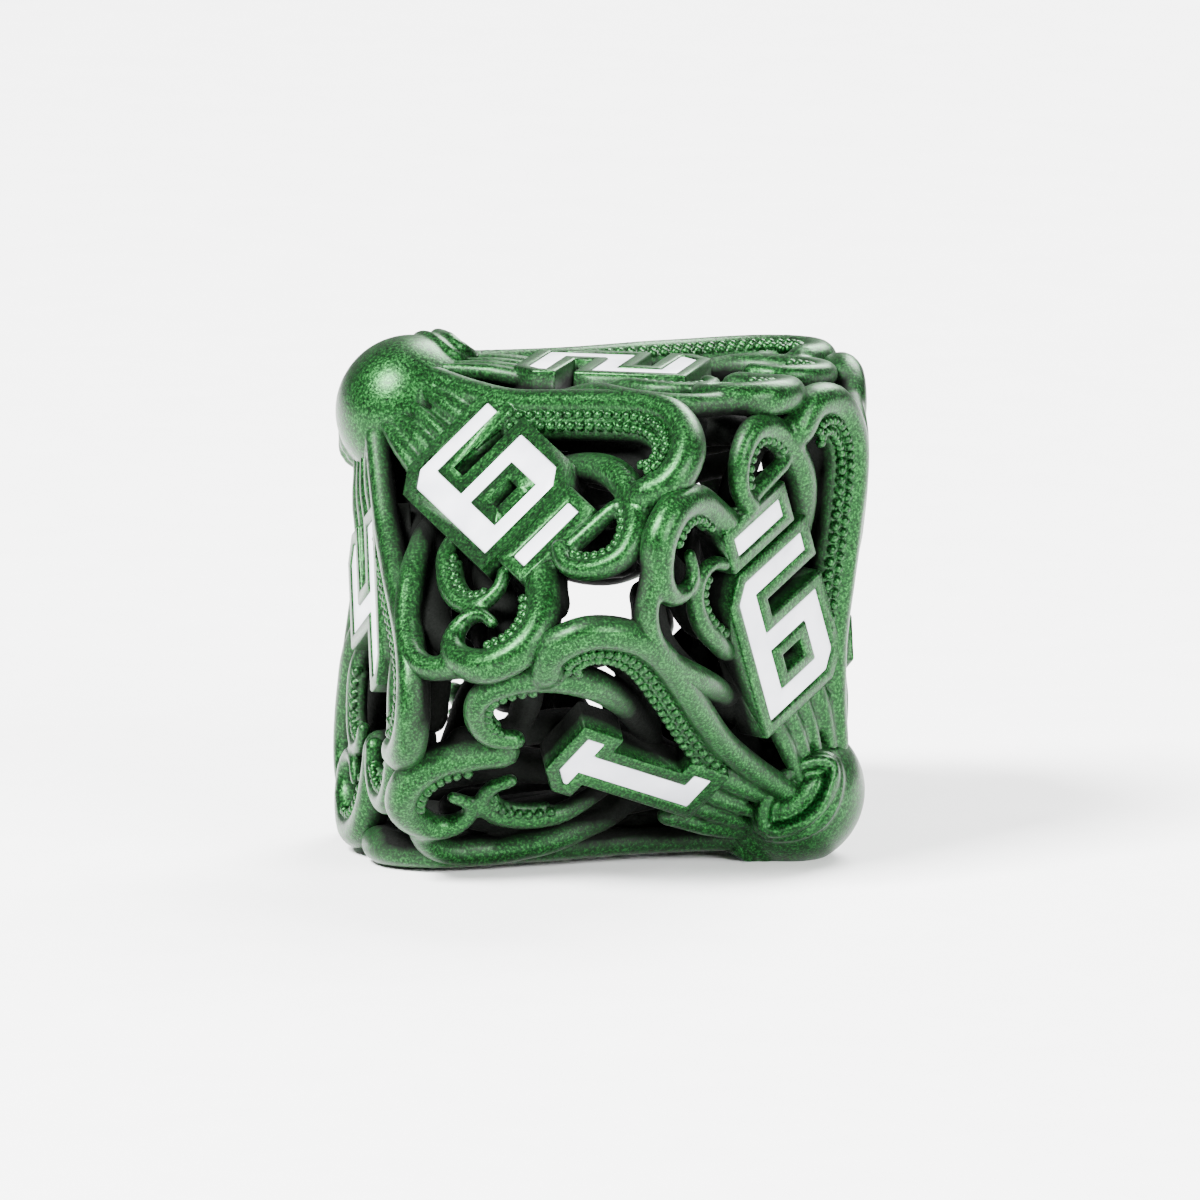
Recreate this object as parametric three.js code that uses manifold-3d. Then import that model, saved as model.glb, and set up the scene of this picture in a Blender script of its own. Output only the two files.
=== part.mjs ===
// A hollow ten-sided die, cast in metal as two octopuses back to back.
//
// The die is a pentagonal trapezohedron: ten kites, five round each pole. Each kite is an open
// panel of tapering arms that carries a raised number frame, and each frame's pocket holds a white
// enamel number. An octopus head closes each pole. The lower half is the upper half turned inside
// out through the centre, so its arms curl the other way round.
//
// Millimetres, +Z up. The die lies on its number 7 with its number 2 on top. The origin is on the
// rest plane under the die's centre, and the head over the even numbers points to -X.

import * as THREE from 'three';
import { ConvexGeometry } from 'three/addons/geometries/ConvexGeometry.js';
import { mergeVertices } from 'three/addons/utils/BufferGeometryUtils.js';
import Module from 'manifold-3d';

const wasm = await Module();
wasm.setup();

// Driving dimensions
const REST_TO_REST = 17.2; // height of the die as it lies, over the heads' flats
const PROUD = 0.3; // heads and outer curls stand this far out of the faces, and the die rests on them
const POLE_RATIO = 0.95; // pole height over belt radius
const PANEL_GAP = 0.1; // solder gap between two neighbouring panels
const HEAD_GAP = 0.1; // gap between a head and the panels round it
const PLATE_THICKNESS = 1.3; // number frame, from the face inwards
const POCKET_DEPTH = 0.55; // pocket that the enamel fills
const ENAMEL_SINK = 0.05; // the enamel's top lies this far under the frame's top
const ENAMEL_GAP = 0.03; // all round the enamel in its pocket
const RIM_WIDTH = 0.47; // green rim round each number
const NUMBER_WIDTH = 3.8; // the white number, outside to outside
const NUMBER_HEIGHT = 5.3;
const UPRIGHT_STROKE = 0.92; // width of a number's upright strokes
const LEVEL_STROKE = 0.72; // width of its level strokes
const NUMBER_LIFT = -0.45; // the number's middle, from the face's middle towards the pole
const FLAG_REACH = 1.0; // the flag of the number 1, from its stroke's middle to the left
const FOOT_SHARE = 0.6; // foot of the number 1, over a number's width
const BAR_WIDTH = 2.6; // underline that tells 6 from 9
const BAR_HEIGHT = 0.7;
const BAR_DROP = 1.05; // clear height between a number and its underline
const STUB_REACH = 0.9; // the stub arm's tip past the underline's end
const STUB_FALL = 0.2; // the stub arm's tip under its root
const HEAD_RADIUS = 2.55; // mantle of a head, across the pole axis
const HEAD_LENGTH = 2.3; // mantle, along the pole axis, from its middle to its end
const HEAD_SETBACK = 2.94; // middle of the mantle, inwards from where the faces would meet at the pole
const NECK_RADIUS = 1.8;
const NECK_LENGTH = 2.7; // from the middle of the mantle to the neck's inner end
const EYE_RADIUS = 0.85;
const EYE_WIDENESS = 1.35; // an eye's width round the head over its height
const EYE_SINK = 0.5; // an eye's middle, inwards from the mantle's widest ring
const EYE_DROP = 0.15; // an eye's middle, from the mantle's middle towards the die's centre
const EYE_ANGLE = 54; // degrees from the middle of an octopus's brow to each eye
const UPPER_BROW = 162; // azimuth of the upper octopus's brow round the pole axis, in degrees
const LOWER_TURN = -108; // turn of the lower octopus round the pole axis, in degrees
const ROOT_SETBACK = 3.5; // the arms' roots, from where the faces would meet at the pole
const WEDGE_REACH = 1.05; // how far a panel's cutting wedge runs past the face
const HEAD_RINGS = 7; // rings of flats along a mantle
const HEAD_SIDES = 20;
const ARM_SIDES = 5; // flat sides round an arm, one of them flush with the face

const NUMBERS = [6, 9, 2, 5, 8, 3, 0, 7, 4, 1]; // by face, round the belt
const TOP_FACE = 2;
const GREEN = 0x2f7d3b;
const WHITE = 0xe4e6ec;

// The trapezohedron. A belt corner's height makes each kite flat.
const BELT_STEP = Math.PI / 5;
const BELT_LIFT = Math.tan(BELT_STEP / 2) ** 2;
const PLANE_RATIO = faceDistance(1);
const FACE_DISTANCE = REST_TO_REST / 2 - PROUD;
const BELT_RADIUS = FACE_DISTANCE / PLANE_RATIO;
const HEAD_HEIGHT = POLE_RATIO * BELT_RADIUS - HEAD_SETBACK;
const NECK_END = HEAD_HEIGHT - NECK_LENGTH;

function beltCorner(k, radius) {
  const height = (k % 2 ? 1 : -1) * BELT_LIFT * POLE_RATIO * radius;
  return new THREE.Vector3(radius * Math.cos(k * BELT_STEP), radius * Math.sin(k * BELT_STEP), height);
}

function poleOf(k, radius) {
  return new THREE.Vector3(0, 0, (k % 2 ? -1 : 1) * POLE_RATIO * radius);
}

// Axes of face k: x to the right seen from outside, y to its pole, z out of the die.
function faceAxes(k, radius) {
  const pole = poleOf(k, radius);
  const up = pole.clone().sub(beltCorner(k, radius)).normalize();
  const across = beltCorner(k + 1, radius).sub(beltCorner(k + 9, radius));
  const out = new THREE.Vector3().crossVectors(across, up).normalize();
  out.multiplyScalar(Math.sign(out.dot(pole)));
  const right = new THREE.Vector3().crossVectors(up, out);
  return { right, up, out, distance: out.dot(pole) };
}

function faceDistance(radius) {
  return faceAxes(0, radius).distance;
}

// Solids and booleans
function solidOf(geometry) {
  geometry.deleteAttribute('normal');
  geometry.deleteAttribute('uv');
  const merged = mergeVertices(geometry, 1e-5);
  const corners = merged.index.array;
  const kept = [];
  for (let i = 0; i < corners.length; i += 3) {
    const [a, b, c] = corners.slice(i, i + 3);
    if (a !== b && b !== c && c !== a) kept.push(a, b, c);
  }
  const mesh = new wasm.Mesh({
    numProp: 3,
    vertProperties: new Float32Array(merged.attributes.position.array),
    triVerts: new Uint32Array(kept),
  });
  return new wasm.Manifold(mesh);
}

function join(solids) {
  return solids.reduce((sum, solid) => sum.add(solid));
}

function meshOf(name, solid, material) {
  const { vertProperties, triVerts } = solid.getMesh();
  const geometry = new THREE.BufferGeometry();
  geometry.setAttribute('position', new THREE.BufferAttribute(vertProperties, 3));
  geometry.setIndex(new THREE.BufferAttribute(triVerts, 1));
  geometry.computeVertexNormals();
  const mesh = new THREE.Mesh(geometry, material);
  mesh.name = name;
  return mesh;
}

// Routes are drawn on a kite whose pole and tip stand at these places, and stretched to the face.
const ROUTE_POLE = 0.688;
const ROUTE_TIP = -0.7622;
const POLE_Y = poleOf(0, BELT_RADIUS).dot(faceAxes(0, BELT_RADIUS).up);
const TIP_Y = beltCorner(0, BELT_RADIUS).dot(faceAxes(0, BELT_RADIUS).up);
const ROUTE_UNIT_Y = (POLE_Y - TIP_Y) / (ROUTE_POLE - ROUTE_TIP);
const alongFace = (y) => TIP_Y + (y - ROUTE_TIP) * ROUTE_UNIT_Y;
const alongRoute = (height) => ROUTE_TIP + (height - TIP_Y) / ROUTE_UNIT_Y;

// An arm lies in its face with its outer flat side flush with it. Its route runs from the face's
// middle, in belt radii across and on the routes' own scale along. Its radii, and
// its depths under the face, are in belt radii at the root, half way and at the tip.
function arm({ route, radii, steps, depths = [0, 0, 0] }, side) {
  const points = route.map(([x, y]) => new THREE.Vector3(side * x * BELT_RADIUS, alongFace(y), 0));
  const curve = new THREE.CatmullRomCurve3(points);
  const length = curve.getLength();
  const along = ([root, middle, tip], t) => BELT_RADIUS * (
    t < 0.5 ? THREE.MathUtils.lerp(root, middle, 2 * t) : THREE.MathUtils.lerp(middle, tip, 2 * t - 1)
  );
  const profile = [new THREE.Vector2(0, 0)];
  for (let i = 0; i <= steps; i += 1) {
    const first = (0.5 * along(radii, 0)) / length;
    const last = 1 - (0.5 * along(radii, 1)) / length;
    const t = THREE.MathUtils.lerp(first, last, i / steps);
    profile.push(new THREE.Vector2(along(radii, t), t * length));
  }
  profile.push(new THREE.Vector2(0, length));
  const geometry = new THREE.LatheGeometry(profile, ARM_SIDES, Math.PI / ARM_SIDES);
  const position = geometry.attributes.position;
  for (let i = 0; i < position.count; i += 1) {
    const t = THREE.MathUtils.clamp(position.getY(i) / length, 0, 1);
    const ahead = curve.getTangentAt(t);
    const place = curve.getPointAt(t);
    place.x += ahead.y * position.getX(i);
    place.y -= ahead.x * position.getX(i);
    const middle = along(radii, t) * Math.cos(Math.PI / ARM_SIDES) + along(depths, t);
    place.z = position.getZ(i) - middle;
    position.setXYZ(i, place.x, place.y, place.z);
  }
  return solidOf(geometry);
}

const ROOT_Y = alongRoute(POLE_Y - ROOT_SETBACK);
const ROOT_STRANDS = [[-0.075, -0.105], [-0.03, -0.04], [0.015, 0.02], [0.065, 0.09]].map(([root, end]) => (
  { route: [[root, ROOT_Y], [end, 0.17]], radii: [0.022, 0.026, 0.03], steps: 1 }
));

const OUTSTAND = PROUD / BELT_RADIUS;
const SUCKER_ARM = {
  route: [[0.1, ROOT_Y], [0.16, 0.27], [0.22, 0.13], [0.295, 0], [0.37, -0.13], [0.44, -0.26],
    [0.465, -0.37], [0.44, -0.49], [0.35, -0.56], [0.26, -0.52]],
  radii: [0.045, 0.055, 0.048],
  depths: [0, -0.01, -OUTSTAND],
  steps: 7,
};
const RING_ARM = {
  route: [[0.02, 0.06], [0.15, -0.12], [0.21, -0.22], [0.245, -0.33], [0.235, -0.44],
    [0.18, -0.56], [0.1, -0.61], [0.02, -0.57], [-0.02, -0.49], [0, -0.42]],
  radii: [0.034, 0.042, 0.03],
  depths: [0.09, 0, -OUTSTAND / 2],
  steps: 8,
};
const OUTER_ARM = {
  route: [[-0.03, 0.12], [-0.2, 0.07], [-0.27, 0], [-0.36, -0.1], [-0.44, -0.2], [-0.48, -0.3],
    [-0.47, -0.38], [-0.41, -0.46]],
  radii: [0.03, 0.038, 0.032],
  depths: [0.09, 0, 0],
  steps: 5,
};
const HOOK_ARM = {
  route: [[-0.03, 0.06], [-0.2, -0.08], [-0.25, -0.15], [-0.285, -0.22], [-0.29, -0.3],
    [-0.25, -0.355], [-0.19, -0.36], [-0.15, -0.33]],
  radii: [0.024, 0.028, 0.022],
  depths: [0.09, 0, 0],
  steps: 5,
};
const CURLED_ARM = {
  route: [[-0.08, -0.4], [-0.12, -0.47], [-0.18, -0.56], [-0.27, -0.59], [-0.36, -0.55],
    [-0.4, -0.45], [-0.38, -0.38], [-0.32, -0.355], [-0.275, -0.385], [-0.27, -0.44]],
  radii: [0.046, 0.046, 0.02],
  depths: [0, -OUTSTAND, 0],
  steps: 8,
};
const BACK_ARM = {
  route: [[0, 0.22], [0, 0], [-0.03, -0.2], [-0.06, -0.36], [-0.12, -0.5]],
  radii: [0.05, 0.05, 0.045],
  depths: [0.04, 0.07, 0.02],
  steps: 3,
};
// Spars behind the number frame tie the sucker arm and the root strands to the back arm.
const SPARS = [
  [[0, 0.1], [0.1, 0.12], [0.2, 0.13]],
  [[-0.13, 0.19], [0.03, 0.2], [0.18, 0.18]],
].map((route) => ({ route, radii: [0.03, 0.03, 0.03], depths: [0.05, 0.04, 0.02], steps: 2 }));
const LATTICE = [
  ...ROOT_STRANDS, ...SPARS, SUCKER_ARM, RING_ARM, OUTER_ARM, HOOK_ARM, CURLED_ARM, BACK_ARM,
];

// Numbers are built of straight strokes, named as on a seven-segment display.
const STROKES = {
  0: 'ABCDEF',
  2: 'ABGED',
  3: 'ABGCD',
  4: 'FGBC',
  5: 'AFGCD',
  6: 'AFGECD',
  7: 'ABC',
  8: 'ABCDEFG',
  9: 'ABCDFG',
};

function block(x0, x1, y0, y1, z0, z1) {
  const geometry = new THREE.BoxGeometry(x1 - x0, y1 - y0, z1 - z0);
  geometry.translate((x0 + x1) / 2, (y0 + y1) / 2, (z0 + z1) / 2);
  return solidOf(geometry);
}

function strokeBoxes(number) {
  const x = NUMBER_WIDTH / 2;
  const y = NUMBER_HEIGHT / 2;
  const upright = UPRIGHT_STROKE;
  const level = LEVEL_STROKE;
  if (number === 1) {
    return [
      [-upright / 2, upright / 2, -y, y],
      [-FLAG_REACH, 0, y - level, y],
      [-x * FOOT_SHARE, x * FOOT_SHARE, -y, level - y],
    ];
  }
  const segments = {
    A: [-x, x, y - level, y],
    B: [x - upright, x, -level / 2, y],
    C: [x - upright, x, -y, level / 2],
    D: [-x, x, -y, level - y],
    E: [-x, upright - x, -y, level / 2],
    F: [-x, upright - x, -level / 2, y],
    G: [-x, x, -level / 2, level / 2],
  };
  return [...STROKES[number]].map((name) => segments[name]);
}

// The number as a solid between two heights, grown all round by grow.
function numberSolid(number, grow, z0, z1) {
  const strokes = strokeBoxes(number).map(([x0, x1, y0, y1]) => (
    block(x0 - grow, x1 + grow, y0 - grow + NUMBER_LIFT, y1 + grow + NUMBER_LIFT, z0, z1)
  ));
  return join(strokes);
}

function barSolid(grow, z0, z1) {
  const top = NUMBER_LIFT - NUMBER_HEIGHT / 2 - BAR_DROP;
  return block(-BAR_WIDTH / 2 - grow, BAR_WIDTH / 2 + grow, top - BAR_HEIGHT - grow, top + grow, z0, z1);
}

const LOWER_PLACE = new THREE.Matrix4().makeRotationX(Math.PI)
  .multiply(new THREE.Matrix4().makeRotationZ(THREE.MathUtils.degToRad(LOWER_TURN)));
const isUnderlined = (number) => number === 6 || number === 9;

// A short web behind the underline's frame ties it to the number's frame.
function barWeb() {
  const numberFoot = NUMBER_LIFT - NUMBER_HEIGHT / 2;
  const half = BAR_WIDTH / 4;
  return block(-half, half, numberFoot - BAR_DROP, numberFoot, -PLATE_THICKNESS, -POCKET_DEPTH - ENAMEL_GAP);
}

// A stub of an arm rests its root on the underline frame's foot.
function stubArm() {
  const foot = NUMBER_LIFT - NUMBER_HEIGHT / 2 - BAR_DROP - BAR_HEIGHT - RIM_WIDTH / 2;
  const route = [[0, foot], [BAR_WIDTH / 2 + STUB_REACH, foot - STUB_FALL]];
  return {
    route: route.map(([x, y]) => [x / BELT_RADIUS, alongRoute(y)]),
    radii: [0.026, 0.026, 0.026],
    steps: 2,
  };
}

// The wedge that one face may fill, from near the die's centre outwards, less the solder gap.
function wedge() {
  const { right, up, distance } = faceAxes(0, BELT_RADIUS);
  const flat = (corner) => new THREE.Vector3(corner.dot(right), corner.dot(up), 0);
  const pole = flat(poleOf(0, BELT_RADIUS));
  const tip = flat(beltCorner(0, BELT_RADIUS));
  const side = flat(beltCorner(1, BELT_RADIUS));
  const poleSlope = Math.abs(side.x) / pole.distanceTo(side);
  const tipSlope = Math.abs(side.x) / tip.distanceTo(side);
  const middleY = (poleSlope * pole.y + tipSlope * tip.y) / (poleSlope + tipSlope);
  const middle = new THREE.Vector3(0, middleY, 0);
  const keep = 1 - PANEL_GAP / 2 / (poleSlope * (pole.y - middleY));
  const apex = new THREE.Vector3(0, 0, -distance);
  const outer = [pole, side, tip, new THREE.Vector3(-side.x, side.y, 0)].map((corner) => (
    middle.clone().lerp(corner, keep).sub(apex).multiplyScalar(WEDGE_REACH).add(apex)
  ));
  const inner = apex.clone().multiplyScalar(2 - WEDGE_REACH);
  return solidOf(new ConvexGeometry([inner, ...outer]));
}

// A head in the die's axes, grown all round by grow: a mantle and neck turned round the pole
// axis, and two eyes.
function mantleGeometry(grow) {
  const neck = NECK_RADIUS + grow;
  const profile = [new THREE.Vector2(0, NECK_END), new THREE.Vector2(neck, NECK_END)];
  const start = -Math.acos(neck / (HEAD_RADIUS + grow));
  for (let i = 0; i < HEAD_RINGS; i += 1) {
    const angle = THREE.MathUtils.lerp(start, Math.PI / 2, i / HEAD_RINGS);
    const height = HEAD_HEIGHT + (HEAD_LENGTH + grow) * Math.sin(angle);
    profile.push(new THREE.Vector2((HEAD_RADIUS + grow) * Math.cos(angle), height));
  }
  profile.push(new THREE.Vector2(0, HEAD_HEIGHT + HEAD_LENGTH + grow));
  return new THREE.LatheGeometry(profile, HEAD_SIDES).rotateX(Math.PI / 2);
}

function eyeGeometry(azimuth, grow) {
  const geometry = new THREE.IcosahedronGeometry(EYE_RADIUS + grow, 1);
  geometry.scale(1, EYE_WIDENESS, 1);
  geometry.translate(HEAD_RADIUS - EYE_SINK, 0, HEAD_HEIGHT - EYE_DROP);
  return geometry.rotateZ(THREE.MathUtils.degToRad(azimuth));
}

function headSolid(grow, place = new THREE.Matrix4()) {
  const eyes = [-EYE_ANGLE, EYE_ANGLE].map((angle) => eyeGeometry(UPPER_BROW + angle, grow));
  return join([mantleGeometry(grow), ...eyes].map((shape) => solidOf(shape.applyMatrix4(place))));
}

// What the die may fill: its faces moved out to the planes that it rests on.
function restHull() {
  const radius = REST_TO_REST / 2 / PLANE_RATIO;
  const corners = [poleOf(0, radius), poleOf(1, radius)];
  for (let k = 0; k < 10; k += 1) corners.push(beltCorner(k, radius));
  return solidOf(new ConvexGeometry(corners));
}

// Where a face's own axes stand in the die's axes.
function facePlace(k) {
  const { right, up, out, distance } = faceAxes(k, BELT_RADIUS);
  return new THREE.Matrix4().makeBasis(right, up, out).setPosition(out.clone().multiplyScalar(distance));
}

// A panel in its face's own axes. Its lattice is mirrored on the lower half, its number never is.
function panelSolid(k) {
  const number = NUMBERS[k];
  const side = k % 2 ? -1 : 1;
  const arms = isUnderlined(number) ? [...LATTICE, stubArm()] : LATTICE;
  const lattice = join(arms.map((one) => arm(one, side)));
  let frame = numberSolid(number, RIM_WIDTH, -PLATE_THICKNESS, 0);
  let pocket = numberSolid(number, 0, -POCKET_DEPTH, 1);
  if (isUnderlined(number)) {
    frame = frame.add(barSolid(RIM_WIDTH, -PLATE_THICKNESS, 0)).add(barWeb());
    pocket = pocket.add(barSolid(0, -POCKET_DEPTH, 1));
  }
  const headPlace = facePlace(k).invert().multiply(side < 0 ? LOWER_PLACE : new THREE.Matrix4());
  const framed = lattice.add(frame).subtract(pocket).intersect(wedge());
  return framed.subtract(headSolid(HEAD_GAP, headPlace));
}

function enamelSolid(number) {
  return numberSolid(number, -ENAMEL_GAP, ENAMEL_GAP - POCKET_DEPTH, -ENAMEL_SINK);
}

function underlineSolid() {
  return barSolid(-ENAMEL_GAP, ENAMEL_GAP - POCKET_DEPTH, -ENAMEL_SINK);
}

const metal = new THREE.MeshStandardMaterial({ color: GREEN, roughness: 0.38, metalness: 0.8 });
const enamel = new THREE.MeshStandardMaterial({ color: WHITE, roughness: 0.3, metalness: 0 });

// The rest planes leave five small flats on each head.
const levelledHead = headSolid(0).intersect(restHull());
const upperHead = meshOf('upper_head', levelledHead, metal);
const lowerHead = meshOf('lower_head', levelledHead, metal);
lowerHead.applyMatrix4(LOWER_PLACE);

const die = new THREE.Group();
die.add(upperHead, lowerHead);
for (let k = 0; k < 10; k += 1) {
  const number = NUMBERS[k];
  const face = new THREE.Group();
  facePlace(k).decompose(face.position, face.quaternion, face.scale);
  face.add(meshOf(`panel_${number}`, panelSolid(k), metal));
  face.add(meshOf(`enamel_${number}`, enamelSolid(number), enamel));
  if (isUnderlined(number)) face.add(meshOf(`enamel_bar_${number}`, underlineSolid(), enamel));
  die.add(face);
}

// Turn the die so that its top face is level and the upper head points to -X.
const top = faceAxes(TOP_FACE, BELT_RADIUS);
const forward = new THREE.Vector3().crossVectors(top.out, top.up.clone().negate());
const turn = new THREE.Matrix4().makeBasis(top.up.clone().negate(), forward, top.out).transpose();
die.quaternion.setFromRotationMatrix(turn);
die.position.z = REST_TO_REST / 2;

const group = new THREE.Group();
group.add(die);
export default group;
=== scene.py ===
"""A hollow ten-sided die, cast in zinc alloy as two octopuses back to back and lacquered green.

The part's frame is loaded first, and the die's height comes from its box. Finished meshes are in metres.
"""

import math
import random

import bmesh
import bpy
from bpy.props import FloatProperty, IntProperty, PointerProperty
from mathutils import Matrix, Vector


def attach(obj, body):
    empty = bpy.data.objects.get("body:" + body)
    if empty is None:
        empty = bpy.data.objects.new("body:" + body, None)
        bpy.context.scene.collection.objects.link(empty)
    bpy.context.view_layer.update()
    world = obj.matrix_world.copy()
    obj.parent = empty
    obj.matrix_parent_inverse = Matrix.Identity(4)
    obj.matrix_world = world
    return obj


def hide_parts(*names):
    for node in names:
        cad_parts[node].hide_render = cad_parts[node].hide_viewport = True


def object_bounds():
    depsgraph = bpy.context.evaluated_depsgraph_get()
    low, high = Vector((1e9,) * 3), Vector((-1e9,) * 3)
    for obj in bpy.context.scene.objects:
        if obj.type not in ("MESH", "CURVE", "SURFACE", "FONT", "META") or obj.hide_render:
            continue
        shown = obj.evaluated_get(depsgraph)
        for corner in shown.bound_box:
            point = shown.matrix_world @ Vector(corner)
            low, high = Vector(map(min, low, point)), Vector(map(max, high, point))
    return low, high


bl_info = {
    "name": "Octopus Ten-Sided Die",
    "version": (1, 0, 0),
    "blender": (4, 5, 0),
    "location": "View3D > Sidebar > Die",
    "description": "Builds a hollow cast ten-sided die of octopus arms with enamelled numbers",
    "category": "Add Mesh",
}

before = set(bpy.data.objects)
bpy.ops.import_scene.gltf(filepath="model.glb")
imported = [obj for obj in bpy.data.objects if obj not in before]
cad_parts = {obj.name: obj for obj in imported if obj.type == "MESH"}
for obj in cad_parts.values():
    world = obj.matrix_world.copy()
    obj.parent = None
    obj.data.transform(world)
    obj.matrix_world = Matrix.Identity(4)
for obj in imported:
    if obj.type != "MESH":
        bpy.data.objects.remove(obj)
CAD_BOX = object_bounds()

MM = 0.001

# The die is a pentagonal trapezohedron, sized by its height as it lies. The heads stand proud of its
# faces.
REST_TO_REST = (CAD_BOX[1][2] - CAD_BOX[0][2]) / MM
PROUD = 0.3
POLE_RATIO = 0.95
BELT_STEP = math.pi / 5
BELT_LIFT = math.tan(BELT_STEP / 2) ** 2
TOP_FACE = 2
NUMBERS = (6, 9, 2, 5, 8, 3, 0, 7, 4, 1)
UNDERLINED = (6, 9)


# ---------------------------------------------------------------------------------------------
# The shape that the faces stand on


def belt_corner(k):
    height = (1 if k % 2 else -1) * BELT_LIFT * POLE_RATIO
    return Vector((math.cos(k * BELT_STEP), math.sin(k * BELT_STEP), height))


def face_axes(k):
    """Right, up and out of face k, and its distance, for a belt radius of 1, in the die's axes."""
    pole = Vector((0, 0, -POLE_RATIO if k % 2 else POLE_RATIO))
    up = (pole - belt_corner(k)).normalized()
    out = (belt_corner(k + 1) - belt_corner(k + 9)).cross(up).normalized()
    if out.dot(pole) < 0:
        out.negate()
    return up.cross(out), up, out, out.dot(pole)


BELT_RADIUS = (REST_TO_REST / 2 - PROUD) / face_axes(0)[3]
OUTSTAND = PROUD / BELT_RADIUS


def basis(x, y, z, place=(0, 0, 0)):
    turn = Matrix((x, y, z)).transposed().to_4x4()
    return Matrix.Translation(place) @ turn


def die_place():
    """The die's axes in the part's frame: top face level, the even head to -X, resting on z = 0."""
    _, up, out, _ = face_axes(TOP_FACE)
    level = basis(-up, out.cross(-up), out).transposed()
    return Matrix.Translation((0, 0, REST_TO_REST / 2)) @ level


DIE = die_place()


def face_place(k):
    """A face's own axes in the part's frame, in millimetres: x right, y to its pole, z outwards."""
    right, up, out, distance = face_axes(k)
    return DIE @ basis(right, up, out, out * distance * BELT_RADIUS)


def lower_place(turn):
    return Matrix.Rotation(math.pi, 4, "X") @ Matrix.Rotation(turn, 4, "Z")


# ---------------------------------------------------------------------------------------------
# Sizes and colours


class DieMetal(bpy.types.PropertyGroup):
    """The lacquered casting."""

    grain: FloatProperty(
        name="Remesh grain", description="Grain of the fused casting", subtype="DISTANCE",
        default=0.11 * MM, min=0.05 * MM, max=0.5 * MM, precision=5,
    )
    arm_sides: IntProperty(
        name="Arm sides", description="Sides of an arm's ring", default=14, min=8, max=32,
    )
    sucker: FloatProperty(
        name="Sucker", description="Radius of a sucker", subtype="DISTANCE",
        default=0.19 * MM, min=0.05 * MM, max=0.4 * MM, precision=5,
    )
    sucker_step: FloatProperty(
        name="Sucker step", description="Distance between suckers in a row", subtype="DISTANCE",
        default=0.42 * MM, min=0.1 * MM, max=1 * MM, precision=5,
    )


class DieNumbers(bpy.types.PropertyGroup):
    """The number frames and their enamel."""

    width: FloatProperty(name="Number width", subtype="DISTANCE", default=3.8 * MM, precision=5,
                         description="White number, outside to outside")
    height: FloatProperty(name="Number height", subtype="DISTANCE", default=5.3 * MM, precision=5,
                          description="White number, top to bottom")
    upright: FloatProperty(name="Upright stroke", subtype="DISTANCE", default=0.92 * MM, precision=5,
                           description="Width of the upright strokes")
    level: FloatProperty(name="Level stroke", subtype="DISTANCE", default=0.72 * MM, precision=5,
                         description="Width of the level strokes")
    lift: FloatProperty(name="Lift", subtype="DISTANCE", default=-0.45 * MM, precision=5,
                        description="Number's middle, from the face's middle towards the pole")
    rim: FloatProperty(name="Rim", subtype="DISTANCE", default=0.47 * MM, precision=5,
                       description="Green rim round a number")
    corner: FloatProperty(name="Cut corner", subtype="DISTANCE", default=0.55 * MM, precision=5,
                          description="Cut across two opposite corners of a number")
    thickness: FloatProperty(name="Frame thickness", subtype="DISTANCE", default=1.3 * MM, precision=5,
                             description="Number frame, from the face inwards")
    pocket: FloatProperty(name="Pocket", subtype="DISTANCE", default=0.55 * MM, precision=5,
                          description="Depth of the enamel's pocket")
    sink: FloatProperty(name="Enamel sink", subtype="DISTANCE", default=0.05 * MM, precision=5,
                        description="Enamel's top under the frame's top")
    bar_width: FloatProperty(name="Underline width", subtype="DISTANCE", default=2.6 * MM, precision=5,
                             description="Bar that tells 6 from 9")
    bar_height: FloatProperty(name="Underline height", subtype="DISTANCE", default=0.7 * MM, precision=5,
                              description="Bar that tells 6 from 9")
    bar_drop: FloatProperty(name="Underline drop", subtype="DISTANCE", default=1.05 * MM, precision=5,
                            description="Clear height between a number and its bar")


# ---------------------------------------------------------------------------------------------
# Mesh helpers. Meshes are shaped in millimetres in a face's own axes, then placed in metres.


def object_of(bm, name):
    """Ends a bmesh as a linked object."""
    mesh = bpy.data.meshes.new(name)
    bm.to_mesh(mesh)
    bm.free()
    piece = bpy.data.objects.new(name, mesh)
    bpy.context.scene.collection.objects.link(piece)
    return piece


def evaluated(piece):
    """Applies a piece's modifiers to its mesh."""
    bpy.context.view_layer.update()
    graph = bpy.context.evaluated_depsgraph_get()
    mesh = bpy.data.meshes.new_from_object(piece.evaluated_get(graph))
    old = piece.data
    piece.modifiers.clear()
    piece.data = mesh
    bpy.data.meshes.remove(old)
    return piece


def combined(piece, other, operation):
    """Joins or cuts a piece with another, which is used up."""
    cut = piece.modifiers.new("combine", "BOOLEAN")
    cut.operation = operation
    cut.solver = "MANIFOLD"
    cut.object = other
    evaluated(piece)
    used = other.data
    bpy.data.objects.remove(other)
    bpy.data.meshes.remove(used)
    return piece


def placed(piece, place):
    """Moves a mesh to its place in metres; the object stays at the origin."""
    piece.data.transform(Matrix.Scale(MM, 4) @ place)
    if place.determinant() < 0:
        piece.data.flip_normals()
    for polygon in piece.data.polygons:
        polygon.use_smooth = True
    return piece


def on_frame(piece, nodes, material):
    """Gives a finished piece its finish and its place in the assembly."""
    piece.data.materials.clear()
    piece.data.materials.append(material)
    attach(piece, "root")
    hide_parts(*nodes)


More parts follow.
